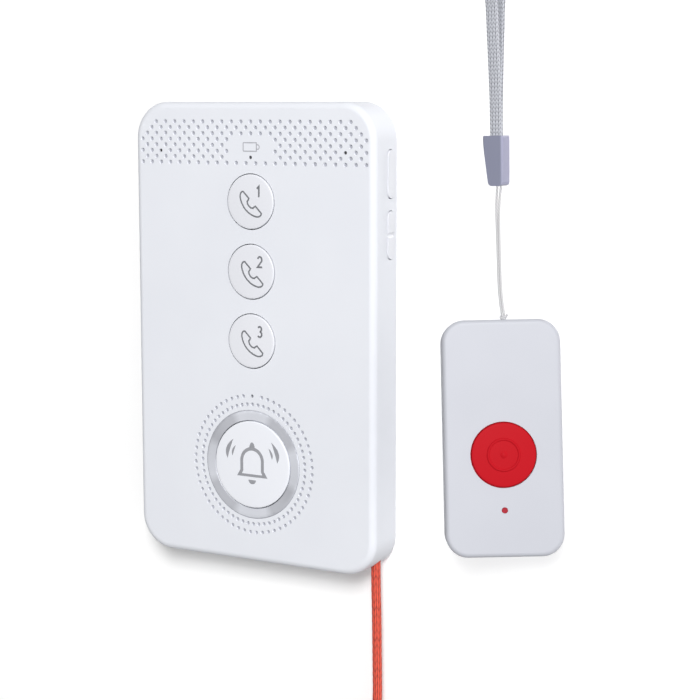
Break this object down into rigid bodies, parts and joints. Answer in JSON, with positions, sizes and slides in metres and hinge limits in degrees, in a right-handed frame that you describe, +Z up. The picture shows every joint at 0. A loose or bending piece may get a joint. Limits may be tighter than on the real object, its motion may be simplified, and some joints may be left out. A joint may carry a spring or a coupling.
{
  "type": "emergency call station with pendant",
  "caption": "Slim wall-mounted emergency call station with round call buttons, a ringed bell button and a pull cord, and a portable call pendant with a red button on a lanyard.",
  "frame": {"origin": "centre of the station's back face, on the wall", "axes": "+X to the right seen from the front, +Y into the wall, +Z up"},
  "size_m": [0.1371, 0.0329, 0.2642],
  "materials": {
    "white_shell": "satin",
    "white_key": "gloss",
    "bright_ring": "spun",
    "seal_rubber": "matte",
    "steel_screw": "satin",
    "board_green": "satin",
    "black_plastic": "matte",
    "metal_can": "satin",
    "battery_wrap": "satin",
    "lamp": "gloss",
    "smoked_pipe": "gloss",
    "grey_plastic": "satin",
    "cord_orange": "braided",
    "tie_black": "woven",
    "pendant_white": "satin",
    "red_key": "satin",
    "red_lamp": "gloss",
    "string_white": "braided",
    "strap_grey": "woven"
  },
  "bodies": {
    "station": {"front_shell": "white_shell", "rear_cover": "white_shell", "housing_gasket": "seal_rubber", "cover_screws": "steel_screw", "bell_ring": "bright_ring", "main_board": "board_green", "call_switches": "black_plastic", "bell_switch": "black_plastic", "side_switches": "black_plastic", "pull_switch": "black_plastic", "speaker": "black_plastic", "alarm_buzzer": "black_plastic", "microphone": "metal_can", "status_leds": "lamp", "light_pipes": "smoked_pipe", "battery_pack": "battery_wrap", "radio_module": "metal_can", "sim_holder": "metal_can", "charge_socket": "metal_can", "cord_bush": "grey_plastic", "pull_spring": "steel_screw"},
    "call_button_1": {"call_button_1": "white_key"},
    "call_button_2": {"call_button_2": "white_key"},
    "call_button_3": {"call_button_3": "white_key"},
    "bell_button": {"bell_button": "white_key"},
    "upper_side_key": {"upper_side_key": "white_key"},
    "lower_side_key": {"lower_side_key": "white_key"},
    "pull_line": {"pull_slider": "grey_plastic", "pull_cord": "cord_orange", "cord_coil": "cord_orange", "coil_tie": "tie_black", "cord_tail": "cord_orange", "pull_knob": "white_key"},
    "pendant": {"pendant_front": "pendant_white", "pendant_rear": "pendant_white", "pendant_screws": "steel_screw", "pendant_light": "red_lamp", "pendant_led": "lamp", "pendant_board": "board_green", "pendant_switch": "black_plastic", "coin_cell": "metal_can", "cell_holder": "black_plastic", "string_knot": "string_white", "lanyard_string": "string_white", "lanyard_cap": "grey_plastic", "lanyard_strap": "strap_grey"},
    "pendant_button": {"pendant_button": "red_key"}
  },
  "joints": [
    {"name": "call_press_1", "type": "slide", "parent": "station", "child": "call_button_1", "axis": [0, 1, 0], "range_m": [0, 0.0006], "stiffness_N_per_m": 1200, "springref_m": -0.0002},
    {"name": "call_press_2", "type": "slide", "parent": "station", "child": "call_button_2", "axis": [0, 1, 0], "range_m": [0, 0.0006], "stiffness_N_per_m": 1200, "springref_m": -0.0002},
    {"name": "call_press_3", "type": "slide", "parent": "station", "child": "call_button_3", "axis": [0, 1, 0], "range_m": [0, 0.0006], "stiffness_N_per_m": 1200, "springref_m": -0.0002},
    {"name": "bell_press", "type": "slide", "parent": "station", "child": "bell_button", "axis": [0, 1, 0], "range_m": [0, 0.001], "stiffness_N_per_m": 1200, "springref_m": -0.0002},
    {"name": "upper_key_press", "type": "slide", "parent": "station", "child": "upper_side_key", "axis": [-1, 0, 0], "range_m": [0, 0.0005], "stiffness_N_per_m": 1200, "springref_m": -0.0002},
    {"name": "lower_key_rock", "type": "hinge", "parent": "station", "child": "lower_side_key", "pos_m": [0.0371, -0.0044, 0.0291], "axis": [0, 1, 0], "range_deg": [-2, 2], "stiffness_Nm_per_rad": 0.1},
    {"name": "cord_pull", "type": "slide", "parent": "station", "child": "pull_line", "axis": [0, 0, -1], "range_m": [0, 0.004], "stiffness_N_per_m": 1000, "springref_m": -0.004, "deforming": ["pull_spring"]},
    {"name": "pendant_lift", "type": "slide", "parent": "station", "child": "pendant", "axis": [0, 0, 1], "range_m": [0, 0.12]},
    {"name": "pendant_press", "type": "slide", "parent": "pendant", "child": "pendant_button", "axis": [-0.4833, 0.8614, -0.1564], "range_m": [0, 0.0006], "stiffness_N_per_m": 1200, "springref_m": -0.0002}
  ]
}
